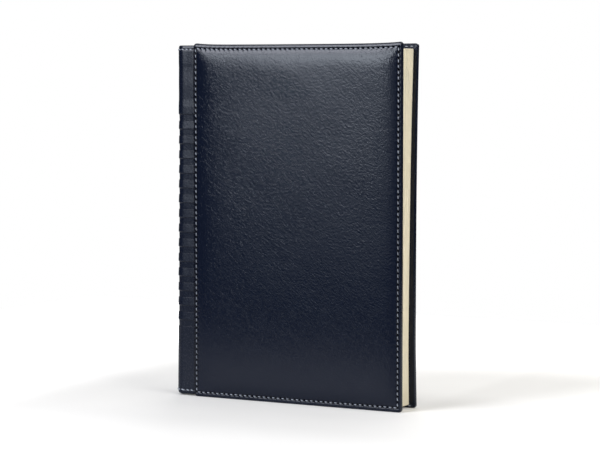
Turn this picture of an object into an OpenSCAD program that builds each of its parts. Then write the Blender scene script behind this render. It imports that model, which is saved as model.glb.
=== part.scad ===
// Padded hardback diary, standing upright on the tail edges of its covers.
// Millimetres, +Z up. The front cover faces -Y and the fore-edge faces +X.
// The origin is the middle of the footprint, on the surface it stands on.

/* [Cover] */
// Height of the padded cover panels, head to tail
cover_h = 213; // [200:1:225]
// Width of one cover panel, from its overlapped edge to the fore-edge
panel_w = 138; // [125:1:150]
// Width of the grooved strip that shows between a panel and the spine's face
strip_w = 12.5; // [12:0.5:14]
// Height of the padding's crown above the seam flange
crown_h = 1.8; // [1:0.1:3]
// Thickness of the panel's leather
leather_t = 0.8; // [0.6:0.1:1]
// Thickness of the cover board
board_t = 1.3; // [1:0.1:2.5]

/* [Pages] */
// Thickness of one sewn section of leaves
section_t = 1.26; // [1:0.02:1.5]
// How far the covers overhang the leaves at head and tail
square_z = 3.5; // [3:0.25:6]
// How far the covers overhang the leaves at the fore-edge
overhang = 3; // [2.5:0.25:5]
// Radius of the leaves' fore-edge corners
page_r = 2.5; // [1:0.25:5]

/* [Spine strip] */
// Pressed grooves across the spine strip
groove_n = 15; // [5:1:17]
// Distance from one groove to the next
groove_pitch = 8.9; // [7:0.1:9.5]
// Height of one groove
groove_h = 4.2; // [3:0.1:5]
// Depth of a groove
groove_d = 0.35; // [0.2:0.05:0.4]
// Length of the doubled leather at head and tail
turn_h = 13; // [8:1:16]
// Extra thickness of the doubled leather
turn_t = 0.55; // [0.4:0.05:0.6]

/* [Seam] */
// Seam's distance from the panel's spine edge and fore-edge
seam_x = 1.8; // [1.4:0.1:2.2]
// Seam's distance from the panel's head and tail
seam_z = 2.8; // [2:0.1:2.8]
// Width of the seam's thread
thread_w = 0.7; // [0.5:0.1:0.8]

/* [Hidden] */
$fn = 48;
// section pitch through the block: its thickness and a hair of air
pitch = section_t + 0.04;
// layers from the block outwards, as distances from the mid plane
y_leaf = 5 * pitch + section_t / 2;     // outer face of the outermost section
y_fly = y_leaf + 0.05;                  // flyleaf, inner face
fly_t = 0.18;
y_in = y_fly + fly_t + 0.04;            // pastedown, inner face
paste_t = 0.2;
y_board = y_in + paste_t;               // board, inner face
y_lay = y_board + board_t;              // hinge leather layer, inner face
lay_t = 0.9;
y_skin = y_lay + lay_t;                 // panel leather, inner face
y_flange = y_skin + leather_t;          // seam flange, outer face
y_axis = y_lay + lay_t / 2;             // mid plane of the hinge leather
// places across the width
x_spine = -(panel_w + strip_w) / 2;     // spine's face over the doubled leather
x_fore = -x_spine;
x_panel = x_fore - panel_w;
x_back = x_spine + turn_t;              // spine's face between head and tail
x_liner = x_back + lay_t;               // inside of the spine leather
x_shoulder = x_spine + 3.25;            // fold between spine and strip
x_edge = x_panel - 1.25;                // fold at the board's edge
x_pivot = x_spine + 4.25;               // folds of the sections
x_page = x_fore - overhang;
corner_r = 3;
// heights
z_strip0 = 1;
z_strip1 = cover_h - 1;
z_page0 = square_z;
page_h = cover_h - 2 * square_z;
z_page1 = z_page0 + page_h;
wrap_t = 0.85;
groove_z0 = (cover_h - (groove_n - 1) * groove_pitch) / 2;
fold_cut = 0.7;
big = 400;

navy = [0.10, 0.12, 0.20];
silver = [0.66, 0.67, 0.70];
cream = [0.93, 0.89, 0.76];
grey = [0.62, 0.60, 0.56];

// ---------------------------------------------------------------- helpers
// box from corner a to corner b
module slab(a, b) translate(a) cube(b - a);

// outside of the wrapped spine, grown by d
module spine_outline(d) {
    xc = x_back + corner_r;
    yc = y_skin - corner_r;
    for (s = [-1, 1]) translate([xc, s * yc]) circle(r = corner_r + d);
    translate([x_back - d, -yc]) square([corner_r + d + 0.01, 2 * yc]);
    translate([xc, -y_skin - d]) square([20, 2 * (y_skin + d)]);
}

// inside of the wrapped spine
module spine_inside() spine_outline(-lay_t);

// everything past the shoulder folds, and room for the folds to turn
module fold_room() {
    translate([x_shoulder, -big / 2]) square([big, big]);
    for (s = [-1, 1]) translate([x_shoulder, s * y_axis]) circle(r = fold_cut);
}

// frustum of the padding's crown, its foot on the plane y = -base
module crown(base) {
    foot = 3.2;
    rise = 10;
    intersection() {
        linear_extrude(cover_h)
            polygon([[x_panel + foot, -base], [x_fore - foot, -base],
                     [x_fore - foot - rise, -base - crown_h],
                     [x_panel + foot + rise, -base - crown_h]]);
        translate([x_panel, 0, 0]) rotate([90, 0, 90])
            linear_extrude(panel_w)
                polygon([[-base, foot], [-base, cover_h - foot],
                         [-base - crown_h, cover_h - foot - rise],
                         [-base - crown_h, foot + rise]]);
    }
}

// rectangle with four round corners, on the plane y = 0, drawn in x and z
module round_frame(x0, x1, z0, z1, r) {
    translate([x0 + r, z0]) square([x1 - x0 - 2 * r, z1 - z0]);
    translate([x0, z0 + r]) square([x1 - x0, z1 - z0 - 2 * r]);
    for (x = [x0 + r, x1 - r], z = [z0 + r, z1 - r])
        translate([x, z]) circle(r = r);
}

// extrude a drawing in x and z from y = -ya to y = -yb, ya larger
module along_y(ya, yb) translate([0, -yb, 0]) rotate([90, 0, 0])
    linear_extrude(ya - yb) children();

// ---------------------------------------------------------------- spine
module spine_leather() color(navy) difference() {
    union() {
        translate([0, 0, z_strip0]) linear_extrude(z_strip1 - z_strip0)
            difference() { spine_outline(0); spine_inside(); fold_room(); }
        // doubled leather at head and tail
        for (z = [z_strip0, z_strip1 - turn_h])
            translate([0, 0, z]) linear_extrude(turn_h) difference() {
                spine_outline(turn_t);
                spine_outline(-lay_t / 2);
                translate([x_shoulder - 1.2, -big / 2]) square([big, big]);
            }
    }
    // pressed grooves
    for (k = [0 : groove_n - 1])
        translate([0, 0, groove_z0 + k * groove_pitch - groove_h / 2])
            linear_extrude(groove_h) difference() {
                translate([x_spine - 5, -big / 2]) square([60, big]);
                spine_outline(-groove_d);
            }
    spine_thread_bars();
}

// rows of thread at head and tail, let into the doubled leather
module spine_thread_bars() {
    yc = y_skin - corner_r;
    for (z = [z_strip0 + 2.4, z_strip1 - 2.4])
        slab([x_spine, -yc, z - thread_w / 2],
             [x_spine + 0.3, yc, z + thread_w / 2]);
}

module spine_stitching() color(silver) spine_thread_bars();

module spine_stiffener() color(grey)
    slab([x_liner, -(y_skin - corner_r - 0.1), 2],
         [x_liner + 1.1, y_skin - corner_r - 0.1, cover_h - 2]);

module spine_lining() color([0.72, 0.64, 0.50])
    slab([x_liner + 1.1, -(y_leaf - 0.2), 6], [x_liner + 1.4, y_leaf - 0.2, cover_h - 6]);

module spine_mull() color([0.88, 0.86, 0.80])
    slab([x_liner + 1.4, -(y_leaf - 0.2), 15], [x_liner + 1.8, y_leaf - 0.2, cover_h - 15]);

// bars of thread across the folds, one at each sewing station
module sewing_thread() color([0.95, 0.94, 0.90])
    for (k = [0 : 6])
        translate([0, 0, cover_h / 2 + (k - 3) * 28])
            slab([x_liner + 1.8, -(y_leaf - 0.5), -0.4],
                 [x_liner + 2.3, y_leaf - 0.5, 0.4]);

// rolled band with a flat tail glued down the spine, for the head
module band() {
    zc = z_page1 + 1.1;
    translate([x_liner + 2.3, y_leaf - 0.2, zc]) rotate([90, 0, 0])
        cylinder(r = 0.9, h = 2 * (y_leaf - 0.2));
    slab([x_liner + 1.4, -(y_leaf - 0.2), cover_h - 15],
         [x_liner + 1.8, y_leaf - 0.2, zc]);
}

module head_band() color([0.80, 0.81, 0.86]) band();

module tail_band() color([0.80, 0.81, 0.86])
    translate([0, 0, cover_h]) mirror([0, 0, 1]) band();

// ---------------------------------------------------------------- joint strips
module joint_leather() difference() {
    union() {
        translate([0, 0, z_strip0]) linear_extrude(z_strip1 - z_strip0) {
            for (x = [x_shoulder, x_edge])
                translate([x, -y_axis]) circle(r = lay_t / 2);
            translate([x_shoulder, -y_skin]) square([x_edge - x_shoulder, lay_t]);
        }
        for (z = [z_strip0, z_strip1 - turn_h])
            slab([x_shoulder + 1.5, -y_skin - turn_t, z],
                 [x_edge - 1.6, -y_skin + 0.2, z + turn_h]);
    }
    for (k = [0 : groove_n - 1])
        translate([0, 0, groove_z0 + k * groove_pitch])
            slab([x_shoulder + 0.8, -y_skin - 1, -groove_h / 2],
                 [x_edge - 0.8, -y_skin + groove_d, groove_h / 2]);
    joint_thread_bars();
}

module joint_thread_bars()
    for (z = [z_strip0 + 2.4, z_strip1 - 2.4])
        slab([x_shoulder + 1.8, -y_skin - turn_t, z - thread_w / 2],
             [x_edge - 1.9, -y_skin - turn_t + 0.3, z + thread_w / 2]);

module front_joint_leather() color(navy) joint_leather();
module back_joint_leather() color(navy) mirror([0, 1, 0]) joint_leather();
module front_joint_stitching() color(silver) joint_thread_bars();
module back_joint_stitching() color(silver) mirror([0, 1, 0]) joint_thread_bars();

// ---------------------------------------------------------------- covers
// skin of a padded panel: flange, crown, wrapped edges and turn-ins
module panel_leather() difference() {
    union() {
        slab([x_panel, -y_flange, 0], [x_fore, -y_in, cover_h]);
        crown(y_flange);
    }
    // room for the board and the layer over it, open towards the spine
    slab([x_panel - 1, -y_skin, wrap_t],
         [x_fore - wrap_t, -y_board, cover_h - wrap_t]);
    // window that the pastedown fills
    slab([x_panel - 1, -y_board - 0.1, 4], [x_fore - 4, -y_in + 1, cover_h - 4]);
    crown(y_skin);
}

// padding under the skin, beside and over the hinge leather's tongue
module panel_foam() union() {
    crown(y_skin);
    slab([x_panel + 10.75, -y_skin, wrap_t],
         [x_fore - wrap_t, -y_lay, cover_h - wrap_t]);
}

module panel_board()
    slab([x_panel + 0.25, -y_lay, wrap_t],
         [x_fore - wrap_t, -y_board, cover_h - wrap_t]);

// hinge leather glued between the board and the panel's skin
module panel_tongue() difference() {
    slab([x_edge, -y_skin, z_strip0], [x_panel + 10.75, -y_lay, z_strip1]);
    translate([x_edge, -y_axis, 0]) cylinder(r = fold_cut, h = cover_h);
}

module panel_pastedown()
    slab([x_panel + 0.25, -y_board, 4], [x_fore - 4, -y_in, cover_h - 4]);

// run of the upper thread round the flange
module panel_seam() {
    h = thread_w / 2;
    along_y(y_flange + 0.25, y_flange) difference() {
        round_frame(x_panel + seam_x - h, x_fore - seam_x + h,
                    seam_z - h, cover_h - seam_z + h, 2);
        round_frame(x_panel + seam_x + h, x_fore - seam_x - h,
                    seam_z + h, cover_h - seam_z - h, 2 - 2 * h);
    }
}

module front_leather() color(navy) panel_leather();
module front_foam_pad() color([0.86, 0.85, 0.80]) panel_foam();
module front_board() color(grey) panel_board();
module front_hinge_tongue() color(navy) panel_tongue();
module front_pastedown() color(cream) panel_pastedown();
module front_seam_thread() color(silver) panel_seam();

module back_leather() color(navy) mirror([0, 1, 0]) panel_leather();
module back_foam_pad() color([0.86, 0.85, 0.80]) mirror([0, 1, 0]) panel_foam();
module back_board() color(grey) mirror([0, 1, 0]) panel_board();
module back_hinge_tongue() color(navy) mirror([0, 1, 0]) panel_tongue();
module back_pastedown() color(cream) mirror([0, 1, 0]) panel_pastedown();
module back_seam_thread() color(silver) mirror([0, 1, 0]) panel_seam();

// ---------------------------------------------------------------- leaves
// outline of a leaf with round fore-edge corners, from x0
module leaf_outline(x0) {
    translate([x0, z_page0]) square([x_page - x0 - page_r, page_h]);
    translate([x0, z_page0 + page_r])
        square([x_page - x0, page_h - 2 * page_r]);
    for (z = [z_page0 + page_r, z_page1 - page_r])
        translate([x_page - page_r, z]) circle(r = page_r);
}

// sewn section i of eleven: folded leaves, thin at the fold
module section(i) color(cream) {
    y = (i - 6) * pitch;
    h = section_t / 2;
    intersection() {
        translate([x_pivot, y, z_page0]) linear_extrude(page_h) {
            circle(r = 0.2);
            polygon([[0, -0.2], [4, -h], [x_page - x_pivot, -h],
                     [x_page - x_pivot, h], [4, h], [0, 0.2]]);
        }
        along_y(20, -20) leaf_outline(x_pivot - 1);
    }
}

module section_01() section(1);
module section_02() section(2);
module section_03() section(3);
module section_04() section(4);
module section_05() section(5);
module section_06() section(6);
module section_07() section(7);
module section_08() section(8);
module section_09() section(9);
module section_10() section(10);
module section_11() section(11);

// free leaf of the endpaper, tipped on beside the fold
module flyleaf() {
    xf = x_pivot + 5;
    r = fly_t / 2;
    intersection() {
        translate([0, 0, z_page0]) linear_extrude(page_h) {
            translate([xf, -y_fly - r]) circle(r = r);
            translate([xf, -y_fly - fly_t]) square([x_page - xf, fly_t]);
        }
        along_y(20, -20) leaf_outline(xf - 1);
    }
}

module front_flyleaf() color(cream) flyleaf();
module back_flyleaf() color(cream) mirror([0, 1, 0]) flyleaf();

// ---------------------------------------------------------------- drawing
spine_leather();
spine_stiffener();
spine_lining();
spine_mull();
sewing_thread();
head_band();
tail_band();
spine_stitching();
front_joint_leather();
front_joint_stitching();
front_leather();
front_foam_pad();
front_board();
front_hinge_tongue();
front_pastedown();
front_seam_thread();
back_joint_leather();
back_joint_stitching();
back_leather();
back_foam_pad();
back_board();
back_hinge_tongue();
back_pastedown();
back_seam_thread();
section_01();
section_02();
section_03();
section_04();
section_05();
section_06();
section_07();
section_08();
section_09();
section_10();
section_11();
front_flyleaf();
back_flyleaf();
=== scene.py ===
import math

import bpy
import bmesh
import numpy as np
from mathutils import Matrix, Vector


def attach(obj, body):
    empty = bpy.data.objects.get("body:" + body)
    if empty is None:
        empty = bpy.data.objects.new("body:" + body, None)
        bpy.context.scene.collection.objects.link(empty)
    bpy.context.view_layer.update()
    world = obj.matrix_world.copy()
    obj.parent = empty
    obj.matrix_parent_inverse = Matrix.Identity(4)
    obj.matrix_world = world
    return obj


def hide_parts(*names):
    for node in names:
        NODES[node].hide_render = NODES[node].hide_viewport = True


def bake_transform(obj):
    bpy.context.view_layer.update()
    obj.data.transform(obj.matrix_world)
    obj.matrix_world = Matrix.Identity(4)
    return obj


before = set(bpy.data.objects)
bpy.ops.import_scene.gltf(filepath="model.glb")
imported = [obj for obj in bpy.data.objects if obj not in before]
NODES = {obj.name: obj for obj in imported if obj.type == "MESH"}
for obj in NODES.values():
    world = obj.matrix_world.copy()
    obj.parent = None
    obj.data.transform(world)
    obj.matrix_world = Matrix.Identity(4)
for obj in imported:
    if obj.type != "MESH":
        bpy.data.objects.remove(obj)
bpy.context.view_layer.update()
scene = bpy.context.scene
MM = 0.001

# ------------------------------------------------------------------ sizes, mm
PAN_W, PAN_H = 138.0, 213.0          # one padded cover panel
X_PAN, X_FORE = -62.75, 75.25
Y_FLANGE, Y_SKIN, Y_LAY, Y_BOARD, Y_IN = 10.60, 9.80, 8.90, 7.60, 7.40
X_BACK, X_SH, X_EDGE, X_PIV, X_PAGE = -74.70, -72.00, -64.00, -71.00, 72.25
CORNER_R = 3.0
Z_S0, Z_S1 = 0.9, 212.0              # head and tail of the spine strip
Z_P0, Z_P1 = 3.5, 209.5              # tail and head of the leaves
SEC_T, PITCH = 1.26, 1.30
SAG = 1.75                           # how much lower the tail of the leaves lies at the fore-edge
SEAM_L, SEAM_R, SEAM_B, SEAM_T = 1.6, 1.8, 2.8, 2.85   # seam inside the panel's spine, fore, tail and head edges
N_H, N_V = 42, 64                    # stitches along one end and one side
P_H = (PAN_W - SEAM_L - SEAM_R) / N_H
P_V = (PAN_H - SEAM_B - SEAM_T) / N_V


# ------------------------------------------------------------------ camera
def add_camera():
    yaw, pitch = math.radians(28.185), math.radians(3.953)
    fwd = Vector((-math.sin(yaw) * math.cos(pitch), math.cos(yaw) * math.cos(pitch), -math.sin(pitch)))
    data = bpy.data.cameras.new("studio_camera")
    data.sensor_width = 36.0
    data.lens = 128.22
    data.clip_start, data.clip_end = 0.05, 60.0
    cam = bpy.data.objects.new("studio_camera", data)
    scene.collection.objects.link(cam)
    cam.location = (0.60085, -1.11357, 0.19286)
    cam.rotation_euler = fwd.to_track_quat("-Z", "Y").to_euler()
    scene.camera = cam
    return cam


add_camera()


# ------------------------------------------------------------------ small tools
def step(x):
    t = np.clip(x, 0.0, 1.0)
    return t * t * (3 - 2 * t)


def waves(p, q, seed, size, n=9):
    """Smooth unevenness: a fixed sum of sine waves about size mm long, of about unit height."""
    rng = np.random.default_rng(seed)
    out = 0.0
    for _ in range(n):
        ang, ph = rng.uniform(0, 2 * math.pi), rng.uniform(0, 2 * math.pi)
        wl = size * rng.uniform(0.6, 1.7)
        out = out + np.sin((p * math.cos(ang) + q * math.sin(ang)) * 2 * math.pi / wl + ph)
    return out / math.sqrt(n / 2)


def new_object(name, verts_mm, faces, mat, smooth=True, normals=True, sharp=None):
    me = bpy.data.meshes.new(name)
    me.from_pydata((np.asarray(verts_mm, float) * MM).tolist(), [], [list(map(int, f)) for f in faces])
    if normals:
        bm = bmesh.new()
        bm.from_mesh(me)
        bmesh.ops.remove_doubles(bm, verts=bm.verts, dist=2e-7)
        bmesh.ops.recalc_face_normals(bm, faces=bm.faces)
        bm.to_mesh(me)
        bm.free()
    me.polygons.foreach_set("use_smooth", [smooth] * len(me.polygons))
    if sharp is not None:
        me.set_sharp_from_angle(angle=math.radians(sharp))
    me.update()
    ob = bpy.data.objects.new(name, me)
    scene.collection.objects.link(ob)
    ob.data.materials.append(mat)
    return ob


def grid_faces(nu, nv, base=0, flip=False):
    """Quads of a grid stored row by row, nu points in a row, nv rows."""
    i = np.arange(nv - 1)[:, None] * nu + np.arange(nu - 1)[None, :] + base
    q = np.stack([i, i + 1, i + nu + 1, i + nu], -1).reshape(-1, 4)
    return q[:, ::-1] if flip else q


def tube_faces(n_ring, n_side, base):
    f = []
    for r in range(n_ring - 1):
        for s in range(n_side):
            a, b = base + r * n_side + s, base + r * n_side + (s + 1) % n_side
            f.append([a, b, b + n_side, a + n_side])
    f.append([base + s for s in range(n_side)][::-1])
    f.append([base + (n_ring - 1) * n_side + s for s in range(n_side)])
    return f


def warp(x, z):
    """How far the back cover springs open towards its fore-edge, in mm: most at the head, a little at the tail."""
    fx = np.clip((x - X_EDGE) / (X_FORE - X_EDGE), 0, 1.05) ** 2
    head = 3.3 * np.clip((z - 60) / 153, 0, 1.02) ** 2.4
    tail = 1.6 * np.clip((50 - z) / 50, 0, 1) ** 2
    return fx * (head + tail + 0.30)


# ------------------------------------------------------------------ materials
def material(name):
    m = bpy.data.materials.new(name)
    m.use_nodes = True
    nt = m.node_tree
    nt.nodes.clear()
    out = nt.nodes.new("ShaderNodeOutputMaterial")
    bsdf = nt.nodes.new("ShaderNodeBsdfPrincipled")
    nt.links.new(bsdf.outputs["BSDF"], out.inputs["Surface"])
    return m, nt, bsdf


def N(nt, kind, inputs=None, **props):
    n = nt.nodes.new(kind)
    for k, v in props.items():
        setattr(n, k, v)
    for k, v in (inputs or {}).items():
        s = n.inputs[k]
        if hasattr(v, "is_linked"):
            nt.links.new(v, s)
        else:
            s.default_value = v
    return n


def math_node(nt, op, a, b=None, clamp=False):
    n = nt.nodes.new("ShaderNodeMath")
    n.operation, n.use_clamp = op, clamp
    for i, v in enumerate((a, b)):
        if v is None:
            continue
        if hasattr(v, "is_linked"):
            nt.links.new(v, n.inputs[i])
        else:
            n.inputs[i].default_value = v
    return n.outputs[0]


def mm_coords(nt, rot=(0, 0, 0), scale=(1, 1, 1)):
    """Object coordinates in mm, turned by rot and then stretched by scale."""
    tc = nt.nodes.new("ShaderNodeTexCoord")
    mp = nt.nodes.new("ShaderNodeMapping")
    mp.vector_type = "TEXTURE"
    mp.inputs["Rotation"].default_value = rot
    mp.inputs["Scale"].default_value = tuple(0.001 / s for s in scale)
    nt.links.new(tc.outputs["Object"], mp.inputs["Vector"])
    return mp.outputs["Vector"]


def ramp(nt, fac, stops):
    r = nt.nodes.new("ShaderNodeValToRGB")
    el = r.color_ramp.elements
    while len(el) < len(stops):
        el.new(0.5)
    for e, (p, c) in zip(el, stops):
        e.position = p
        e.color = (*c, 1.0) if len(c) == 3 else c
    nt.links.new(fac, r.inputs["Fac"])
    return r.outputs["Color"]


def smooth_range(nt, v, lo, hi, a=0.0, b=1.0):
    """Smooth step from a to b as v goes from lo to hi."""
    return N(nt, "ShaderNodeMapRange", {"Value": v, "From Min": lo, "From Max": hi, "To Min": a, "To Max": b},
             interpolation_type="SMOOTHSTEP").outputs["Result"]


def leather_material():
    m, nt, bsdf = material("navy_leather")
    co = mm_coords(nt)
    # pebbles about 0.7 mm across, longer along the grain
    pco = mm_coords(nt, rot=(0, math.radians(48), 0), scale=(0.85, 1.0, 1.15))
    peb = N(nt, "ShaderNodeTexVoronoi", {"Vector": pco, "Scale": 1.5, "Smoothness": 0.4, "Randomness": 1.0},
            feature="SMOOTH_F1").outputs["Distance"]
    # low swells of 1 to 2 mm and short creases, both from upper left to lower right
    sco = mm_coords(nt, rot=(0, math.radians(46), 0), scale=(0.70, 1.0, 1.20))
    swell = N(nt, "ShaderNodeTexNoise", {"Vector": sco, "Scale": 0.90, "Detail": 2.0, "Roughness": 0.6}).outputs["Fac"]
    dco = mm_coords(nt, rot=(0, math.radians(44), 0), scale=(0.42, 0.8, 1.2))
    wr = N(nt, "ShaderNodeTexNoise", {"Vector": dco, "Scale": 0.42, "Detail": 2.0, "Roughness": 0.5, "Distortion": 0.8}).outputs["Fac"]
    cr = math_node(nt, "ABSOLUTE", math_node(nt, "SUBTRACT", wr, 0.5))
    cr = math_node(nt, "MINIMUM", math_node(nt, "MULTIPLY", cr, 6.0), 1.0)
    # broad cloudiness
    cloud = N(nt, "ShaderNodeTexNoise", {"Vector": co, "Scale": 0.085, "Detail": 3.0, "Roughness": 0.5}).outputs["Fac"]
    h = math_node(nt, "ADD", math_node(nt, "MULTIPLY", peb, -0.40), math_node(nt, "MULTIPLY", swell, 0.95))
    h = math_node(nt, "ADD", h, math_node(nt, "MULTIPLY", cr, 0.26))
    # the grain is deepest in the middle of a panel, shallower at its head and calm on the strip
    sep = N(nt, "ShaderNodeSeparateXYZ", {"Vector": co})
    x, z = sep.outputs["X"], sep.outputs["Z"]
    deep = math_node(nt, "MULTIPLY", smooth_range(nt, z, 60.0, 120.0, 0.0, 0.22), smooth_range(nt, z, 160.0, 190.0, 1.0, 0.0))
    deep = math_node(nt, "MULTIPLY", deep, smooth_range(nt, x, -52.0, -25.0))
    deep = math_node(nt, "MULTIPLY", deep, smooth_range(nt, x, 50.0, 70.0, 1.0, 0.0))
    deep = math_node(nt, "ADD", deep, math_node(nt, "MULTIPLY", smooth_range(nt, z, 162.0, 196.0, 1.0, 0.64), smooth_range(nt, z, 25.0, 85.0, 0.72, 1.0)))
    calm = nt.nodes.new("ShaderNodeAttribute")
    calm.attribute_name = "calm"
    deep = math_node(nt, "MULTIPLY", deep, math_node(nt, "SUBTRACT", 1.0, math_node(nt, "MULTIPLY", calm.outputs["Fac"], 0.45)))
    h = math_node(nt, "MULTIPLY", h, deep)
    bump = N(nt, "ShaderNodeBump", {"Height": h, "Strength": 1.0, "Distance": 0.0001})
    nt.links.new(bump.outputs["Normal"], bsdf.inputs["Normal"])
    tone = math_node(nt, "ADD", math_node(nt, "MULTIPLY", cloud, 0.7), math_node(nt, "MULTIPLY", swell, 0.3))
    col = ramp(nt, tone, [(0.30, (0.0036, 0.0057, 0.0134)), (0.52, (0.0038, 0.0060, 0.0138)), (0.75, (0.0043, 0.0066, 0.0148))])
    # painted shade: the groove attribute mixes a near-black colour into the seam's grooves and needle holes, the
    # panel's spine-side edge and the crease beside it, and the turned edges are dull
    seam = nt.nodes.new("ShaderNodeAttribute")
    seam.attribute_name = "groove"
    dull_and_shade = N(nt, "ShaderNodeMix", data_type="RGBA")
    nt.links.new(seam.outputs["Fac"], dull_and_shade.inputs[0])
    nt.links.new(col, dull_and_shade.inputs[6])
    # painted shade colour
    dull_and_shade.inputs[7].default_value = (0.0014, 0.0022, 0.0060, 1)
    nt.links.new(dull_and_shade.outputs[2], bsdf.inputs["Base Color"])
    ro = math_node(nt, "ADD", 0.05, math_node(nt, "MULTIPLY", swell, 0.10))
    ro = math_node(nt, "ADD", ro, math_node(nt, "MULTIPLY", peb, 0.05))
    worn = nt.nodes.new("ShaderNodeAttribute")
    worn.attribute_name = "dull_and_shade"
    ro = math_node(nt, "ADD", ro, math_node(nt, "MULTIPLY", worn.outputs["Fac"], 0.55))
    ro = math_node(nt, "ADD", ro, math_node(nt, "MULTIPLY", calm.outputs["Fac"], 0.14))
    nt.links.new(ro, bsdf.inputs["Roughness"])
    bsdf.inputs["IOR"].default_value = 1.5
    bsdf.inputs["Specular IOR Level"].default_value = 0.24
    return m


def thread_material(name, dark, light, shade=False):
    m, nt, bsdf = material(name)
    co = mm_coords(nt, rot=(0.5, 0.4, 0.6))
    fib = N(nt, "ShaderNodeTexNoise", {"Vector": co, "Scale": 3.2, "Detail": 5.0, "Roughness": 0.7}).outputs["Fac"]
    tw = N(nt, "ShaderNodeTexWave", {"Vector": co, "Scale": 1.6, "Distortion": 1.5, "Detail": 2.0}).outputs["Fac"]
    mix = math_node(nt, "ADD", math_node(nt, "MULTIPLY", fib, 0.6), math_node(nt, "MULTIPLY", tw, 0.4))
    # painted shade: the thread is darker towards its ends, where it goes into the needle holes
    hole_shade = nt.nodes.new("ShaderNodeAttribute")
    hole_shade.attribute_name = "hole_shade"
    mul = N(nt, "ShaderNodeMix", data_type="RGBA", blend_type="MIX")
    fac = hole_shade.outputs["Fac"]
    if shade:
        # painted shade: the side rows are darker towards the tail
        z = N(nt, "ShaderNodeSeparateXYZ", {"Vector": mm_coords(nt)}).outputs["Z"]
        low = math_node(nt, "MULTIPLY", smooth_range(nt, z, 6.0, 14.0), smooth_range(nt, z, 90.0, 150.0, 0.42, 0.08))
        fac = math_node(nt, "MAXIMUM", fac, low)
    nt.links.new(fac, mul.inputs[0])
    nt.links.new(ramp(nt, mix, [(0.25, dark), (0.75, light)]), mul.inputs[6])
    # painted shade colour
    mul.inputs[7].default_value = (0.012, 0.014, 0.02, 1)
    nt.links.new(mul.outputs[2], bsdf.inputs["Base Color"])
    bump = N(nt, "ShaderNodeBump", {"Height": mix, "Strength": 0.5, "Distance": 0.00008})
    nt.links.new(bump.outputs["Normal"], bsdf.inputs["Normal"])
    ro = math_node(nt, "ADD", 0.42, math_node(nt, "MULTIPLY", fib, 0.2))
    nt.links.new(ro, bsdf.inputs["Roughness"])
    bsdf.inputs["Sheen Weight"].default_value = 0.25
    bsdf.inputs["Sheen Roughness"].default_value = 0.4
    return m


def paper_material(name, base, ruled=False):
    m, nt, bsdf = material(name)
    co = mm_coords(nt)
    # each leaf's own tone, on its faces and its cut edge
    leaf = nt.nodes.new("ShaderNodeAttribute")
    leaf.attribute_name = "leaf_tone"
    fibre = N(nt, "ShaderNodeTexNoise", {"Vector": co, "Scale": 1.3, "Detail": 6.0, "Roughness": 0.7}).outputs["Fac"]
    cloud = N(nt, "ShaderNodeTexNoise", {"Vector": co, "Scale": 0.06, "Detail": 2.0}).outputs["Fac"]
    t = math_node(nt, "ADD", math_node(nt, "MULTIPLY", fibre, 0.25), math_node(nt, "MULTIPLY", cloud, 0.25))
    t = math_node(nt, "ADD", t, math_node(nt, "MULTIPLY", leaf.outputs["Fac"], 0.5))
    lo = tuple(c * 0.86 for c in base)
    hi = tuple(min(1.0, c * 1.09) for c in base)
    col = ramp(nt, t, [(0.2, lo), (0.5, base), (0.8, hi)])
    if ruled:
        # faint ruled lines across the writing area of each leaf
        sep = N(nt, "ShaderNodeSeparateXYZ", {"Vector": co})
        x, z = sep.outputs["X"], sep.outputs["Z"]
        fr = math_node(nt, "FRACT", math_node(nt, "DIVIDE", z, 8.0))
        line = math_node(nt, "LESS_THAN", fr, 0.035)
        line = math_node(nt, "MULTIPLY", line, math_node(nt, "GREATER_THAN", x, -55.0))
        line = math_node(nt, "MULTIPLY", line, math_node(nt, "LESS_THAN", x, 64.0))
        line = math_node(nt, "MULTIPLY", line, math_node(nt, "GREATER_THAN", z, 14.0))
        line = math_node(nt, "MULTIPLY", line, math_node(nt, "LESS_THAN", z, 186.0))
        mix = N(nt, "ShaderNodeMix", data_type="RGBA")
        nt.links.new(math_node(nt, "MULTIPLY", line, 0.55), mix.inputs[0])
        nt.links.new(col, mix.inputs[6])
        mix.inputs[7].default_value = (0.42, 0.44, 0.47, 1)
        col = mix.outputs[2]
    nt.links.new(col, bsdf.inputs["Base Color"])
    bump = N(nt, "ShaderNodeBump", {"Height": fibre, "Strength": 0.25, "Distance": 0.00003})
    nt.links.new(bump.outputs["Normal"], bsdf.inputs["Normal"])
    ro = math_node(nt, "ADD", 0.72, math_node(nt, "MULTIPLY", fibre, 0.2))
    nt.links.new(ro, bsdf.inputs["Roughness"])
    bsdf.inputs["Specular IOR Level"].default_value = 0.3
    return m


def board_material(name, dark, light):
    m, nt, bsdf = material(name)
    co = mm_coords(nt)
    a = N(nt, "ShaderNodeTexNoise", {"Vector": co, "Scale": 0.9, "Detail": 8.0, "Roughness": 0.75}).outputs["Fac"]
    b = N(nt, "ShaderNodeTexVoronoi", {"Vector": co, "Scale": 0.7}).outputs["Distance"]
    t = math_node(nt, "ADD", math_node(nt, "MULTIPLY", a, 0.8), math_node(nt, "MULTIPLY", b, 0.25))
    nt.links.new(ramp(nt, t, [(0.3, dark), (0.75, light)]), bsdf.inputs["Base Color"])
    bump = N(nt, "ShaderNodeBump", {"Height": a, "Strength": 0.4, "Distance": 0.0001})
    nt.links.new(bump.outputs["Normal"], bsdf.inputs["Normal"])
    ro = math_node(nt, "ADD", 0.75, math_node(nt, "MULTIPLY", a, 0.2))
    nt.links.new(ro, bsdf.inputs["Roughness"])
    return m


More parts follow.
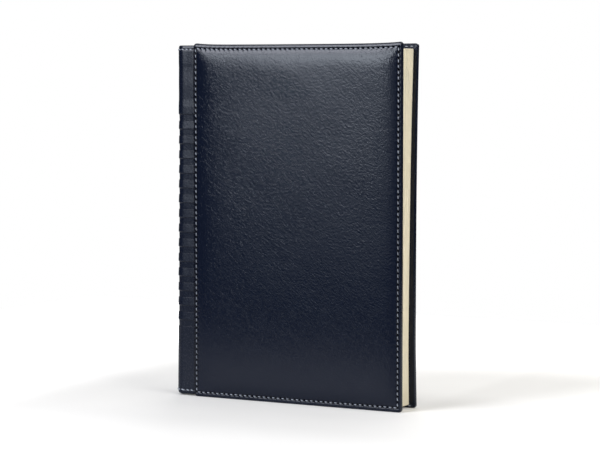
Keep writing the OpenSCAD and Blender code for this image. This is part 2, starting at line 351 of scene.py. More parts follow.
def gauze_material():
    m, nt, bsdf = material("mull_gauze")
    sep = N(nt, "ShaderNodeSeparateXYZ", {"Vector": mm_coords(nt)})
    wy = math_node(nt, "ABSOLUTE", math_node(nt, "SINE", math_node(nt, "MULTIPLY", sep.outputs["Y"], math.pi / 0.6)))
    wz = math_node(nt, "ABSOLUTE", math_node(nt, "SINE", math_node(nt, "MULTIPLY", sep.outputs["Z"], math.pi / 0.6)))
    t = math_node(nt, "MAXIMUM", wy, wz)
    nt.links.new(ramp(nt, t, [(0.55, (0.20, 0.17, 0.12)), (0.85, (0.72, 0.69, 0.60))]), bsdf.inputs["Base Color"])
    bump = N(nt, "ShaderNodeBump", {"Height": t, "Strength": 0.6, "Distance": 0.0001})
    nt.links.new(bump.outputs["Normal"], bsdf.inputs["Normal"])
    nt.links.new(math_node(nt, "ADD", 0.7, math_node(nt, "MULTIPLY", t, 0.2)), bsdf.inputs["Roughness"])
    return m


def band_material():
    m, nt, bsdf = material("band_cotton")
    sep = N(nt, "ShaderNodeSeparateXYZ", {"Vector": mm_coords(nt)})
    fr = math_node(nt, "FRACT", math_node(nt, "DIVIDE", sep.outputs["Y"], 2.2))
    stripe = math_node(nt, "GREATER_THAN", fr, 0.5)
    fib = N(nt, "ShaderNodeTexNoise", {"Vector": mm_coords(nt, scale=(1, 4, 1)), "Scale": 2.5, "Detail": 4.0}).outputs["Fac"]
    a = ramp(nt, fib, [(0.3, (0.020, 0.026, 0.06)), (0.7, (0.05, 0.062, 0.13))])
    b = ramp(nt, fib, [(0.3, (0.55, 0.53, 0.47)), (0.7, (0.82, 0.80, 0.74))])
    mix = N(nt, "ShaderNodeMix", data_type="RGBA")
    nt.links.new(stripe, mix.inputs[0])
    nt.links.new(a, mix.inputs[6])
    nt.links.new(b, mix.inputs[7])
    nt.links.new(mix.outputs[2], bsdf.inputs["Base Color"])
    bump = N(nt, "ShaderNodeBump", {"Height": fib, "Strength": 0.5, "Distance": 0.0001})
    nt.links.new(bump.outputs["Normal"], bsdf.inputs["Normal"])
    nt.links.new(math_node(nt, "ADD", 0.6, math_node(nt, "MULTIPLY", fib, 0.25)), bsdf.inputs["Roughness"])
    return m


LEATHER = leather_material()
THREAD = thread_material("seam_thread", (0.16, 0.175, 0.21), (0.40, 0.43, 0.49), shade=True)
LINEN = thread_material("book_thread", (0.60, 0.57, 0.50), (0.88, 0.86, 0.80))
PAPER = paper_material("page_paper", (0.82, 0.753, 0.58), ruled=True)
ENDPAPER = paper_material("end_paper", (0.79, 0.735, 0.60))
BOARD = board_material("grey_board", (0.20, 0.19, 0.17), (0.42, 0.40, 0.36))
KRAFT = board_material("kraft_paper", (0.30, 0.21, 0.12), (0.55, 0.42, 0.27))
GAUZE = gauze_material()
BAND = band_material()


# ------------------------------------------------------------------ padded cover panels
def seam_phase(a, b):
    """Which seam is nearest, and how far along it the nearest needle hole is: (signed distance inside the seam, distance to hole, phase)."""
    q = np.minimum(np.minimum(a - SEAM_L, PAN_W - a - SEAM_R), np.minimum(b - SEAM_B, PAN_H - b - SEAM_T))
    qh = np.minimum(np.abs(b - SEAM_B), np.abs(PAN_H - b - SEAM_T))
    qv = np.minimum(np.abs(a - SEAM_L), np.abs(PAN_W - a - SEAM_R))
    horizontal = qh < qv
    ph = np.where(horizontal, (a - SEAM_L) / P_H, (b - SEAM_B) / P_V)
    pitch = np.where(horizontal, P_H, P_V)
    fr = ph - np.floor(ph)
    return q, np.minimum(fr, 1 - fr) * pitch, fr


def quarter(d, r, h=None):
    """Drop of a round edge r wide and h high, at distance d inside it."""
    k = np.clip(r - d, 0, r)
    return (r - np.sqrt(np.maximum(r * r - k * k, 0))) * (1.0 if h is None else h / r)


def crown_height(a, b):
    """Padding above the flange plane."""
    def f(d, tau):
        return 1 - np.exp(-np.clip(d, 0, None) / tau)

    def g(t):
        return np.clip(1 - t * t, 0, 1)
    fx = f(a - SEAM_L, 7.2 - 3.6 * step((b - 165) / 45) - 1.4 * step((b - 196) / 14)) * f(PAN_W - a - SEAM_R, 5.4)
    fz = f(b - SEAM_B, 3.6) * f(PAN_H - b - SEAM_T, 3.6)
    pil = g((a - PAN_W / 2) / (PAN_W / 2 - SEAM_L)) * g((b - PAN_H / 2) / (PAN_H / 2 - SEAM_B))
    return 1.20 * fx * fz + 0.36 * pil, fx * fz


def panel_height(a, b, seed):
    """Outer surface of a cover above its flange plane, over the flat outline."""
    q, dh, fr = seam_phase(a, b)
    cr, inner = crown_height(a, b)
    head = PAN_H - b - SEAM_T < q + 1e-9
    qg = q + np.where(head, 0.15, 0.0)
    groove = np.where(head, 0.66, 0.50) * np.exp(-(qg / np.where(qg > 0, np.where(head, 0.30, 0.42), np.where(head, 0.36, 0.58))) ** 2)
    pit = 0.75 * np.exp(-(dh / 0.50) ** 2) * np.exp(-(qg / np.where(head, 0.34, 0.42)) ** 2)
    # leather puffs out between the needle holes, on both sides of the seam
    puff = 0.07 * np.cos(2 * math.pi * (fr - 0.5)) * np.exp(-((np.abs(q) - 0.85) / 0.75) ** 2)
    left, right, low, top = a, PAN_W - a, b, PAN_H - b
    edge = np.maximum(quarter(right, 0.45), np.maximum(quarter(low, 0.5), quarter(top, 1.15, 0.9)))
    edge = np.maximum(edge, quarter(left, 1.1, 0.74))
    roll = 0.0
    for d, depth, width, power in ((right, 0.22, SEAM_R, 1.7), (low, 0.38, SEAM_B - 0.5, 1.7), (top, 0.60, SEAM_T - 0.4, 1.05), (left, 0.22, SEAM_L, 1.4)):
        roll = np.maximum(roll, depth * np.clip(1 - d / width, 0, 1) ** power)
    uneven = 0.022 * waves(a, b, seed, 38.0) * inner + 0.0022 * waves(a, b, seed + 1, 9.0) * inner
    return cr - groove - pit + puff - edge - roll + uneven


def place_panel(a, b, o, side):
    """Flat panel coordinates and height to the row frame, in mm: round corners, ends drawn in between the corners, the back cover's spring."""
    R = 1.6
    a, b, o = np.broadcast_arrays(np.asarray(a, float), np.asarray(b, float), np.asarray(o, float))
    a, b = a.copy(), b.copy()
    for sa in (0, 1):
        for sb in (0, 1):
            da = PAN_W - a if sa else a
            db = PAN_H - b if sb else b
            m = (da < R) & (db < R)
            qa, qb = R - da[m], R - db[m]
            ln = np.hypot(qa, qb)
            k = np.where(ln > 1e-9, np.maximum(qa, qb) / np.maximum(ln, 1e-9), 1.0)
            na, nb = R - qa * k, R - qb * k
            a[m] = PAN_W - na if sa else na
            b[m] = PAN_H - nb if sb else nb
    bow = (1 - np.exp(-np.clip(a, 0, None) / 8.5)) * (1 - np.exp(-np.clip(PAN_W - a, 0, None) / 11.0))
    z = b + (0.35 - 1.05 * bow if side < 0 else -0.45 - 0.2 * bow) * step((b - 180) / 33)
    x = X_PAN + a
    y = side * (Y_FLANGE + o)
    if side > 0:
        y = y + warp(x, z)
    return np.stack([x, y, z], -1)


def axis_points(length, near, far, count, edges):
    pitch = (length - near - far) / count
    inside = near + (np.arange(count)[:, None] + np.array([0, 0.14, 0.31, 0.5, 0.69, 0.86])).ravel() * pitch
    inside = np.append(inside, length - far)
    extra = np.array([0.2, 0.4, 0.85, 1.05])
    pts = np.concatenate([edges[edges < near], length - edges[edges < far], inside, near + extra, length - far - extra])
    pts = np.unique(np.round(pts, 5))
    keep = np.concatenate([[True], np.diff(pts) > 0.02])
    return pts[keep]


def build_panel(name, side, seed):
    A = axis_points(PAN_W, SEAM_L, SEAM_R, N_H, np.array([0, .03, .1, .2, .32, .46, .62, .8, 1.0, 1.2, 1.4, 1.55, 1.68]))
    B = axis_points(PAN_H, SEAM_B, SEAM_T, N_V, np.array([0, .03, .1, .2, .32, .46, .62, .8, 1.05, 1.35, 1.65, 1.9, 2.1, 2.3, 2.5, 2.68]))
    na, nb = len(A), len(B)
    ga, gb = np.meshgrid(A, B)
    o = panel_height(ga, gb, seed)
    verts = [place_panel(ga.ravel(), gb.ravel(), o.ravel(), side)]
    faces = [grid_faces(na, nb)]
    # loop of the outline, then the wrapped edge, the turn-in and the pocket for the board
    loop = np.concatenate([np.arange(na), na - 1 + na * np.arange(1, nb),
                           (nb - 1) * na + np.arange(na - 2, -1, -1), na * np.arange(nb - 2, 0, -1)])
    la, lb, lo = ga.ravel()[loop], gb.ravel()[loop], o.ravel()[loop]
    on_left = la < 1e-6
    levels = [(0.0, 1.1, 0.0, 0.80), (0.0, 2.0, 0.0, 0.80), (0.0, 2.95, 0.02, 0.80), (0.04, 3.10, 0.06, 0.80),
              (0.14, 3.17, 0.10, 0.80), (0.32, 3.20, 0.16, 0.80), (0.50, 3.20, 0.20, 0.80), (0.90, 3.20, 0.26, 0.80), (3.2, 3.20, 0.35, 0.80), (4.3, 3.20, 0.45, 0.80),
              (4.3, 3.02, 0.55, 0.80), (0.85, 3.02, 0.70, 0.80), (0.85, 0.80, 0.85, 0.80)]
    prev = loop
    base = na * nb
    nl = len(loop)
    for ins, dep, ins_l, dep_l in levels:
        aa = np.clip(la, ins_l, PAN_W - ins)
        bb = np.clip(lb, np.where(on_left, ins_l, ins), PAN_H - np.where(on_left, ins_l, ins))
        dd = np.where(on_left, np.maximum(dep_l, -lo), np.maximum(dep, -lo))
        verts.append(place_panel(aa, bb, -dd, side))
        cur = base + np.arange(nl)
        nxt = np.roll(np.arange(nl), -1)
        faces.append(np.stack([prev, cur, cur[nxt], prev[nxt]], -1))
        prev, base = cur, base + nl
    fl = [f for block in faces for f in block] + [list(prev)]
    ob = new_object(name, np.concatenate(verts), fl, LEATHER, normals=False)
    q, dh, _ = seam_phase(ga.ravel(), gb.ravel())
    # painted shade: darker colour in the seam's grooves, more at its needle holes
    dark = np.zeros(base)
    head = PAN_H - gb.ravel() - SEAM_T < q + 1e-9
    spine_side = ga.ravel() - SEAM_L < q + 1e-9
    width = np.where(head, 0.40, np.where(spine_side, 1.05, 0.62))
    dark[:na * nb] = np.clip(1.2 * np.exp(-((q + 0.15 * head) / width) ** 2) * (0.5 + 0.5 * np.exp(-(dh / 0.7) ** 2)), 0, 1)
    dull_and_shade = np.zeros(base)
    dull_and_shade[:na * nb] = 0.2 * dark[:na * nb]
    dull_and_shade[na * nb:] = np.tile(0.8 * ((lb < 1e-6) | (lb > PAN_H - 1e-6)), len(levels))
    # painted shade along the spine-side edge, its wrapped edge and turn-in
    dark[:na * nb] = np.maximum(dark[:na * nb], 0.85 * np.clip(1.15 - ga.ravel() / 1.1, 0, 1))
    dark[na * nb:] = np.tile(0.85 * on_left, len(levels))
    at = ob.data.attributes.new("dull_and_shade", "FLOAT", "POINT")
    at.data.foreach_set("value", dull_and_shade.astype(np.float32))
    # the groove attribute carries this painted shade to the leather's colour
    at = ob.data.attributes.new("groove", "FLOAT", "POINT")
    at.data.foreach_set("value", dark.astype(np.float32))
    bm = bmesh.new()
    bm.from_mesh(ob.data)
    bmesh.ops.remove_doubles(bm, verts=bm.verts, dist=2e-7)
    bmesh.ops.recalc_face_normals(bm, faces=bm.faces)
    bm.to_mesh(ob.data)
    bm.free()
    return ob


def stitch_tube(center, across, up, radius, n_side=8, ply=0.12, turns=1.6):
    """Rings of a twisted two-ply thread along center (n x 3), as points in panel coordinates."""
    n = len(center)
    t = np.linspace(0, 1, n)
    th = np.linspace(0, 2 * math.pi, n_side, endpoint=False)
    taper = 1 - 0.45 * np.abs(2 * t - 1) ** 6
    r = radius * taper[:, None] * (1 + ply * np.cos(2 * (th[None, :] - turns * 2 * math.pi * t[:, None])))
    return center[:, None, :] + r[..., None] * (np.cos(th)[None, :, None] * across + np.sin(th)[None, :, None] * up)


# stores the painted shade at the stitch ends as a point attribute
def with_hole_shade(ob, hole_shade):
    at = ob.data.attributes.new("hole_shade", "FLOAT", "POINT")
    at.data.foreach_set("value", np.asarray(hole_shade, np.float32))
    return ob


def build_seam(name, side, seed):
    """Row of single stitches round the panel; on the inside they come out nearer to the edge."""
    rng = np.random.default_rng(seed)
    verts, faces, hole_shade, base = [], [], [], 0
    n, ns = 13, 8
    t = np.linspace(-1, 1, n)
    runs = [("h", SEAM_B), ("h", PAN_H - SEAM_T), ("v", SEAM_L), ("v", PAN_W - SEAM_R)]
    for inside in (False, True):
        for kind, at in runs:
            if inside and kind == "v":
                continue
            cnt, pitch, first = (N_H, P_H, SEAM_L) if kind == "h" else (N_V, P_V, SEAM_B)
            for k in range(cnt):
                if inside and kind == "h" and k < 4:
                    continue
                half = pitch * (0.37 if kind == "h" else 0.355) * (1 + rng.uniform(-0.04, 0.04))
                along = first + (k + 0.5) * pitch + t * half + rng.uniform(-0.05, 0.05)
                lat = at - (0.16 if kind == "v" or at > 100 else 0.05) * (1 + rng.uniform(-0.2, 0.2)) * t
                if kind == "h" and at > 100:
                    lat = lat - 0.15
                if inside:
                    lat = lat + (1.25 if at > 100 else -1.55)
                    hgt = -3.27 + 0.45 * np.abs(t) ** 4
                else:
                    hgt = -0.02 + rng.uniform(-0.02, 0.03) - 0.95 * np.abs(t) ** 4
                c = np.stack([along, lat, hgt], -1) if kind == "h" else np.stack([lat, along, hgt], -1)
                across = np.array([0, 1.0, 0]) if kind == "h" else np.array([1.0, 0, 0])
                p = stitch_tube(c, across, np.array([0, 0, 1.0]), 0.25 if inside or at < 100 and kind == "h" else 0.31, ns).reshape(-1, 3)
                verts.append(place_panel(p[:, 0], p[:, 1], p[:, 2], side))
                faces += tube_faces(n, ns, base)
                # painted shade towards the ends of each stitch
                hole_shade.append(np.repeat(np.clip((np.abs(t) - 0.30) / 0.6, 0, 1), ns))
                base += n * ns
    return with_hole_shade(new_object(name, np.concatenate(verts), faces, THREAD, normals=False), np.concatenate(hole_shade))


def slab_grid(name, xs, zs, y_a, y_b, side, mat, extra=None):
    """Thin plate between two depths, drawn over a grid so that it can follow the cover's spring."""
    gx, gz = np.meshgrid(xs, zs)
    x, z = gx.ravel(), gz.ravel()
    w = warp(x, z) if side > 0 else 0.0 * x
    outer = np.stack([x, side * y_b + w, z], -1)
    inner = np.stack([x, side * y_a + w, z], -1)
    nx, nz = len(xs), len(zs)
    f = [list(q) for q in grid_faces(nx, nz)] + [list(q) for q in grid_faces(nx, nz, nx * nz, True)]
    loop = np.concatenate([np.arange(nx), nx - 1 + nx * np.arange(1, nz),
                           (nz - 1) * nx + np.arange(nx - 2, -1, -1), nx * np.arange(nz - 2, 0, -1)])
    nxt = np.roll(loop, -1)
    f += [list(q) for q in np.stack([loop, loop + nx * nz, nxt + nx * nz, nxt], -1)]
    return new_object(name, np.concatenate([outer, inner]), f, mat, sharp=40)


for side, who, seed in ((-1, "front", 11), (1, "back", 23)):
    cover = who + "_cover"
    pan = build_panel(who + "_padded_panel", side, seed)
    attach(pan, cover)
    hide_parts(who + "_leather", who + "_foam_pad")
    seam = build_seam(who + "_seam_stitches", side, seed + 5)
    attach(seam, cover)
    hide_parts(who + "_seam_thread")
    brd = slab_grid(who + "_cover_board", np.linspace(-62.5, 74.3, 18), np.linspace(0.95, 211.0, 28), Y_BOARD, Y_LAY, side, BOARD)
    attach(brd, cover)
    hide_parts(who + "_board")
    pst = slab_grid(who + "_pastedown_sheet", np.linspace(-62.5, 71.4, 18), np.linspace(3.9, 208.5, 28), Y_IN - 0.03, Y_BOARD, side, ENDPAPER)
    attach(pst, cover)
    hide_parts(who + "_pastedown")


# ------------------------------------------------------------------ spine strip
LIP0, LIP_N, LIP_P, LIP_H = 41.95, 15, 8.9, 4.2
ROW_D, ROW_P = 2.45, 2.74            # the strip's stitch rows: distance from its head and tail, and pitch


def strip_relief(z):
    """Height of the strip's outer face over its plain thickness: doubled ends, pressed grooves, round head and tail."""
    thick = 0.07 * (step((14.0 - z) / 2.2) + step((z - 199.0) / 2.2))
    relief = 0.0
    for k in range(LIP_N):
        lo = LIP0 + k * LIP_P
        hi = lo + LIP_H
        inside = step((z - lo) / 0.12) * (1 - step((z - hi + 0.3) / 0.3))
        relief = relief - inside * (0.33 - 0.02 * (z - lo))
        # the raised band over this groove leans out towards its lower edge
        top = lo + LIP_P if k < LIP_N - 1 else hi + 9.0
        relief = relief + 0.034 * np.clip(top - z, 0, LIP_P - LIP_H) * step((z - hi + 0.15) / 0.3) * (z < top)
    ends = quarter(z - Z_S0, 0.5) + quarter(Z_S1 - z, 0.5)
    for d in (z - Z_S0, Z_S1 - z):
        ends = ends + 0.50 * np.clip(1 - d / 2.0, 0, 1) ** 1.1 + 0.24 * np.exp(-((d - ROW_D) / 0.5) ** 2)
    return thick, relief, -ends


def strip_rows():
    end = np.concatenate([[0, .03, .1, .22, .36], np.arange(0.5, 4.2, 0.2)])
    mid = np.arange(40.6, 182.0, 0.15)
    lips = (LIP0 + LIP_P * np.arange(LIP_N)[:, None] + np.array([-0.04, 0.0, 0.04, 0.08, 0.12, 0.16])).ravel()
    mid = mid[np.abs(mid[:, None] - lips[None, :]).min(1) > 0.03]
    zz = np.concatenate([Z_S0 + end, Z_S1 - end, np.arange(5.8, 41.0, 0.6), mid, lips, np.arange(182.4, 207.6, 0.6)])
    zz = np.unique(np.round(zz, 4))
    return zz[np.concatenate([[True], np.diff(zz) > 0.02])]


ROWS = strip_rows()


def strip_shell(path, normal, thick_w, groove_w, thick_mm, side, seed):
    """Leather strip: path and normal are (n, 2) in x and y for the front side, swept along z."""
    n, m = len(path), len(ROWS)
    P, Nn = np.asarray(path), np.asarray(normal)
    th, gr, en = strip_relief(ROWS)
    u = np.concatenate([[0], np.cumsum(np.hypot(*np.diff(P, axis=0).T))])
    off = th[:, None] * thick_w[None, :] + gr[:, None] * groove_w[None, :] + en[:, None]
    off = off + 0.03 * waves(u[None, :] + 0 * ROWS[:, None], ROWS[:, None] + 0 * u[None, :], seed, 16.0)
    xo = P[None, :, 0] + Nn[None, :, 0] * off
    yo = P[None, :, 1] + Nn[None, :, 1] * off
    zo = np.repeat(ROWS[:, None], n, 1)
    xi = P[None, :, 0] - Nn[None, :, 0] * thick_mm[None, :] + 0 * off
    yi = P[None, :, 1] - Nn[None, :, 1] * thick_mm[None, :] + 0 * off
    outer = np.stack([xo, yo, zo], -1).reshape(-1, 3)
    inner = np.stack([xi, yi, zo], -1).reshape(-1, 3)
    outer[:, 0] += skew(outer[:, 0], outer[:, 2])
    v = np.concatenate([outer, inner])
    if side > 0:
        v[:, 1] *= -1
    k = n * m
    f = [list(q) for q in grid_faces(n, m)] + [list(q) for q in grid_faces(n, m, k, True)]
    for r in (0, m - 1):
        for c in range(n - 1):
            a, b = r * n + c, r * n + c + 1
            f.append([a, a + k, b + k, b])
    return v, f


R_VIS, X_VIS = 5.5, -75.84          # soft round corner of the spine, and its back


def strip_y(x):
    """The strip sinks a little from the spine's corner to the board's edge."""
    return -Y_SKIN + 0.022 * np.clip(np.asarray(x) - (X_VIS + R_VIS), 0, 7.2)


def spine_path():
    """Outline of the strip from the joint round the spine's corner to its middle, with normals and leather thickness."""
    p, nn, th = [], [], []
    xt = X_VIS + R_VIS
    for x in np.linspace(-68.0, xt, 9)[:-1]:
        p.append((x, float(strip_y(x)))), nn.append((0, -1)), th.append(0.9)
    c = (xt, -(Y_SKIN - R_VIS))
    for t in np.radians(np.linspace(-90, -180, 23)):
        p.append((c[0] + R_VIS * math.cos(t), c[1] + R_VIS * math.sin(t)))
        nn.append((math.cos(t), math.sin(t)))
        th.append(0.9 + 1.1 * float(step((-t - math.pi / 2) / (math.pi / 2))))
    for y in np.linspace(-(Y_SKIN - R_VIS), 0, 10)[1:]:
        p.append((X_VIS, y)), nn.append((-1, 0)), th.append(2.0)
    return np.array(p), np.array(nn, float), np.array(th)


def tongue_path():
    xs = np.concatenate([np.linspace(-68.0, -65.2, 8), np.linspace(-64.9, -62.2, 16), np.linspace(-61.5, -54.0, 8)])
    # a crease beside the panel's edge, then flat under the panel
    up = step((xs + 63.35) / 0.6)
    y = strip_y(xs) * (1 - up) + (-Y_SKIN + 0.06) * up
    return np.stack([xs, y], -1), np.tile([0.0, -1.0], (len(xs), 1)), np.full(len(xs), 0.84)


def calm_grain(ob):
    at = ob.data.attributes.new("calm", "FLOAT", "POINT")
    at.data.foreach_set("value", np.ones(len(ob.data.vertices), np.float32))
    return ob


def skew(x, z):
    """The spine stands a little wider towards its tail."""
    return -1.30 * np.clip(1 - z / 145, 0, 1) * step((-68.0 - x) / 4.0)


for side, who, seed in ((-1, "front", 41), (1, "back", 57)):
    p, nn, th = spine_path()
    one = np.ones(len(p))
    v, f = strip_shell(p, nn, one, one, th, side, seed)
    sp = calm_grain(new_object(who + "_spine_strip", v, f, LEATHER))
    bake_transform(sp)
    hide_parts("spine_leather", who + "_joint_leather")
    p, nn, th = tongue_path()
    x = p[:, 0]
    tw = 1 - step((x + 64.0) / 0.9)
    gw = 1 - step((x + 63.5) / 0.6)
    v, f = strip_shell(p, nn, tw, gw, th, side, seed)
    tn = calm_grain(new_object(who + "_hinge_strip", v, f, LEATHER))
    vx = np.array([c.co.x for c in tn.data.vertices]) / MM
    # painted shade: the strip is darker in the crease beside the panel's edge and under the panel
    at = tn.data.attributes.new("groove", "FLOAT", "POINT")
    at.data.foreach_set("value", (0.85 * step((vx + 63.9) / 0.7)).astype(np.float32))
    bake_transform(tn)
    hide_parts(who + "_hinge_tongue", who + "_joint_leather")


def hinge_paper(name, side):
    """Stretch of endpaper that lines the joint and climbs over the board's edge to the pastedown."""
    xs = np.concatenate([np.linspace(-71.0, -65.6, 7), np.linspace(-65.2, -62.1, 22)])
    climb = step((xs + 63.9) / 1.25)
    y = 8.60 * (1 - climb) + 7.40 * climb
    zs = np.linspace(3.9, 208.5, 42)
    gx, gz = np.meshgrid(xs, zs)
    gy = np.repeat(y[None, :], len(zs), 0)
    slope = np.gradient(y, xs)
    nx, ny = slope / np.hypot(1, slope), -1 / np.hypot(1, slope)
    half = 0.045
    a = np.stack([gx + half * nx, side * (gy + half * ny), gz], -1).reshape(-1, 3)
    b = np.stack([gx - half * nx, side * (gy - half * ny), gz], -1).reshape(-1, 3)
    n, m = len(xs), len(zs)
    k = n * m
    f = [list(q) for q in grid_faces(n, m)] + [list(q) for q in grid_faces(n, m, k, True)]
    loop = np.concatenate([np.arange(n), n - 1 + n * np.arange(1, m), (m - 1) * n + np.arange(n - 2, -1, -1), n * np.arange(m - 2, 0, -1)])
    nxt = np.roll(loop, -1)
    f += [list(q) for q in np.stack([loop, loop + k, nxt + k, nxt], -1)]
    return new_object(name, np.concatenate([a, b]), f, ENDPAPER, sharp=40)


for side, who in ((-1, "front"), (1, "back")):
    hp = hinge_paper(who + "_hinge_paper", side)
    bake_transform(hp)
    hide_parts(who + "_pastedown")


def strip_stitches(name, path, normal, first, count, pitch, slant, side, seed):
    """Stitch rows across the doubled ends of the strip."""
    rng = np.random.default_rng(seed)
    u = np.concatenate([[0], np.cumsum(np.hypot(*np.diff(path, axis=0).T))])
    verts, faces, hole_shade, base = [], [], [], 0
    n, ns = 13, 8
    t = np.linspace(-1, 1, n)
    for zc in (Z_S0 + ROW_D, Z_S1 - ROW_D):
        for k in range(count):
            s = first + (k + 0.5) * pitch + t * pitch * 0.42
            lat = zc + slant * t + rng.uniform(-0.03, 0.03)
            hgt = 0.07 + 0.06 - 0.6 * np.abs(t) ** 4
            px, py = np.interp(s, u, path[:, 0]), np.interp(s, u, path[:, 1])
            nx, ny = np.interp(s, u, normal[:, 0]), np.interp(s, u, normal[:, 1])
            th = np.linspace(0, 2 * math.pi, ns, endpoint=False)
            tt = np.linspace(0, 1, n)
            r = 0.34 * (1 - 0.45 * np.abs(t) ** 6)[:, None] * (1 + 0.12 * np.cos(2 * (th[None, :] - 3.2 * math.pi * tt[:, None])))
            h = hgt[:, None] + r * np.sin(th)[None, :]
            pts = np.stack([px[:, None] + nx[:, None] * h, py[:, None] + ny[:, None] * h, lat[:, None] + r * np.cos(th)[None, :]], -1).reshape(-1, 3)
            if side > 0:
                pts[:, 1] *= -1
            pts[:, 0] += skew(pts[:, 0], pts[:, 2])
            verts.append(pts)
            faces += tube_faces(n, ns, base)
            # painted shade towards the ends of each stitch
            hole_shade.append(np.repeat(np.clip((np.abs(t) - 0.30) / 0.6, 0, 1), ns))
            base += n * ns
    return with_hole_shade(new_object(name, np.concatenate(verts), faces, THREAD, normals=False), np.concatenate(hole_shade))


for side, who, seed in ((-1, "front", 71), (1, "back", 73)):
    p, nn, _ = spine_path()
    xs = np.linspace(-71.0, -63.4, 20)
    pj = np.stack([xs, strip_y(xs)], -1)
    st = strip_stitches(who + "_joint_stitches", pj, np.tile([0.0, -1.0], (20, 1)), 1.85, 2, ROW_P, -0.30, side, seed)
    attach(st, who + "_joint")
    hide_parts(who + "_joint_stitching")
    half = strip_stitches(who + "_spine_stitches", p, nn, 1.2, 5, ROW_P, 0.30, side, seed + 1)
    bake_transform(half)
    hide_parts("spine_stitching")


# ------------------------------------------------------------------ leaves
def leaf_mesh(y_mid, half, xf, x_end, fan, lean, cols, rows, r_corner=0.6):
    """One leaf as a thin closed solid: y_mid(x) gives its middle; the fore-edge corners are slightly round, and its tail runs down towards them."""
    xs = cols(xf, x_end - r_corner)
    arc = np.radians(np.linspace(90, 0, 7))
    xs = np.concatenate([xs, x_end - r_corner + r_corner * np.sin(np.radians(np.linspace(12, 90, 7)))])
    over = np.clip(xs - (x_end - r_corner), 0, r_corner)
    cut = r_corner - np.sqrt(np.maximum(r_corner ** 2 - over ** 2, 0))
    tz = np.linspace(0, 1, rows)
    z = (Z_P0 + cut)[None, :] + ((Z_P1 - cut) - (Z_P0 + cut))[None, :] * tz[:, None]
    x = np.repeat(xs[None, :], rows, 0)
    share = np.clip((x - xf) / (x_end - xf), 0, 1)
    x = x + lean * share * (z - 106.5) / 106.5
    z = z - SAG * share * (1 - 0.9 * tz[:, None])
    y = y_mid(xs)[None, :] + fan * warp(x, z)
    a = np.stack([x, y - half, z], -1).reshape(-1, 3)
    b = np.stack([x, y + half, z], -1).reshape(-1, 3)
    nx = len(xs)
    k = nx * rows
    f = [list(q) for q in grid_faces(nx, rows)] + [list(q) for q in grid_faces(nx, rows, k, True)]
    loop = np.concatenate([np.arange(nx), nx - 1 + nx * np.arange(1, rows),
                           (rows - 1) * nx + np.arange(nx - 2, -1, -1), nx * np.arange(rows - 2, 0, -1)])
    nxt = np.roll(loop, -1)
    f += [list(q) for q in np.stack([loop, loop + k, nxt + k, nxt], -1)]
    return np.concatenate([a, b]), f


def leaf_cols(x0, x1):
    return np.concatenate([x0 + np.array([0, 1.0, 2.0, 3.0, 4.0]), x0 + np.array([12.0, 30.0, 50.0, 70.0, 88.0, 104.0, 118.0, 130.0]), [x1]])


def build_section(i):
    rng = np.random.default_rng(100 + i)
    yc = (i - 6) * PITCH
    verts, faces, tones, base = [], [], [], 0
    n_leaf = 16
    for k in range(n_leaf):
        off = (-0.5 + (k + 0.5) / n_leaf) * SEC_T
        fan = np.clip((yc + off + 7.15) / 14.3, 0, 1)

        def y_mid(xs, off=off):
            s = np.clip((xs - X_PIV) / 4.0, 0, 1)
            return yc + off * (0.2 + 0.43 * s) / 0.63
        end = X_PAGE + rng.normal(0, 0.035)
        v, f = leaf_mesh(y_mid, 0.0345, X_PIV - 0.15 + 0.15 * abs(off) / 0.63, end, fan, 0.75, leaf_cols, 17)
        verts.append(v)
        faces += [[a + base for a in q] for q in f]
        tones += [rng.uniform(0.1, 0.9)] * len(v)
        base += len(v)
    name = "section_%02d" % i
    ob = new_object(name + "_leaves", np.concatenate(verts), faces, PAPER, normals=False, sharp=40)
    at = ob.data.attributes.new("leaf_tone", "FLOAT", "POINT")
    at.data.foreach_set("value", np.array(tones, np.float32))
    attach(ob, "spine" if i == 6 else name)
    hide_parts(name)


for i in range(1, 12):
    build_section(i)

for side, who in ((-1, "front"), (1, "back")):
    fan = 0.0 if side < 0 else 1.0
    v, f = leaf_mesh(lambda xs: np.full(len(xs), side * 7.27), 0.085, -66.0, X_PAGE, fan, 0.75, lambda x0, x1: np.linspace(x0, x1, 36), 33)
    fly = new_object(who + "_endpaper_leaf", v, f, ENDPAPER, normals=False, sharp=40)
    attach(fly, who + "_flyleaf")
    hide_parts(who + "_flyleaf")


# ------------------------------------------------------------------ head and tail bands
def build_band(name, top):
    verts, faces = [], []
    ys = np.linspace(-6.9, 6.9, 139)
    ns = 18
    th = np.linspace(0, 2 * math.pi, ns, endpoint=False)
    for y in ys:
        r = 0.84 * (1 + 0.07 * abs(math.sin(math.pi * y / 0.55)))
        for t in th:
            verts.append((-71.5 + r * math.cos(t), y, 210.6 + r * math.sin(t)))
    faces += tube_faces(len(ys), ns, 0)
    base = len(verts)
    zz = np.linspace(198.0, 210.4, 16)
    yy = np.linspace(-6.9, 6.9, 24)
    for x in (-72.38, -72.02):
        for z in zz:
            for y in yy:
                verts.append((x + 0.02 * math.sin(y * 5.7), y, z))
    k = 24 * 16
    faces += [list(q) for q in grid_faces(24, 16, base)] + [list(q) for q in grid_faces(24, 16, base + k, True)]
    loop = np.concatenate([np.arange(24), 23 + 24 * np.arange(1, 16), 15 * 24 + np.arange(22, -1, -1), 24 * np.arange(14, 0, -1)]) + base
    nxt = np.roll(loop, -1)
    faces += [list(q) for q in np.stack([loop, loop + k, nxt + k, nxt], -1)]
    v = np.array(verts)
    if not top:
        v[:, 2] = 213 - v[:, 2]
    return new_object(name, v, faces, BAND, sharp=50)


for nm, node, top in (("head_band_cord", "head_band", True), ("tail_band_cord", "tail_band", False)):
    ob = build_band(nm, top)
    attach(ob, "spine")
    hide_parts(node)


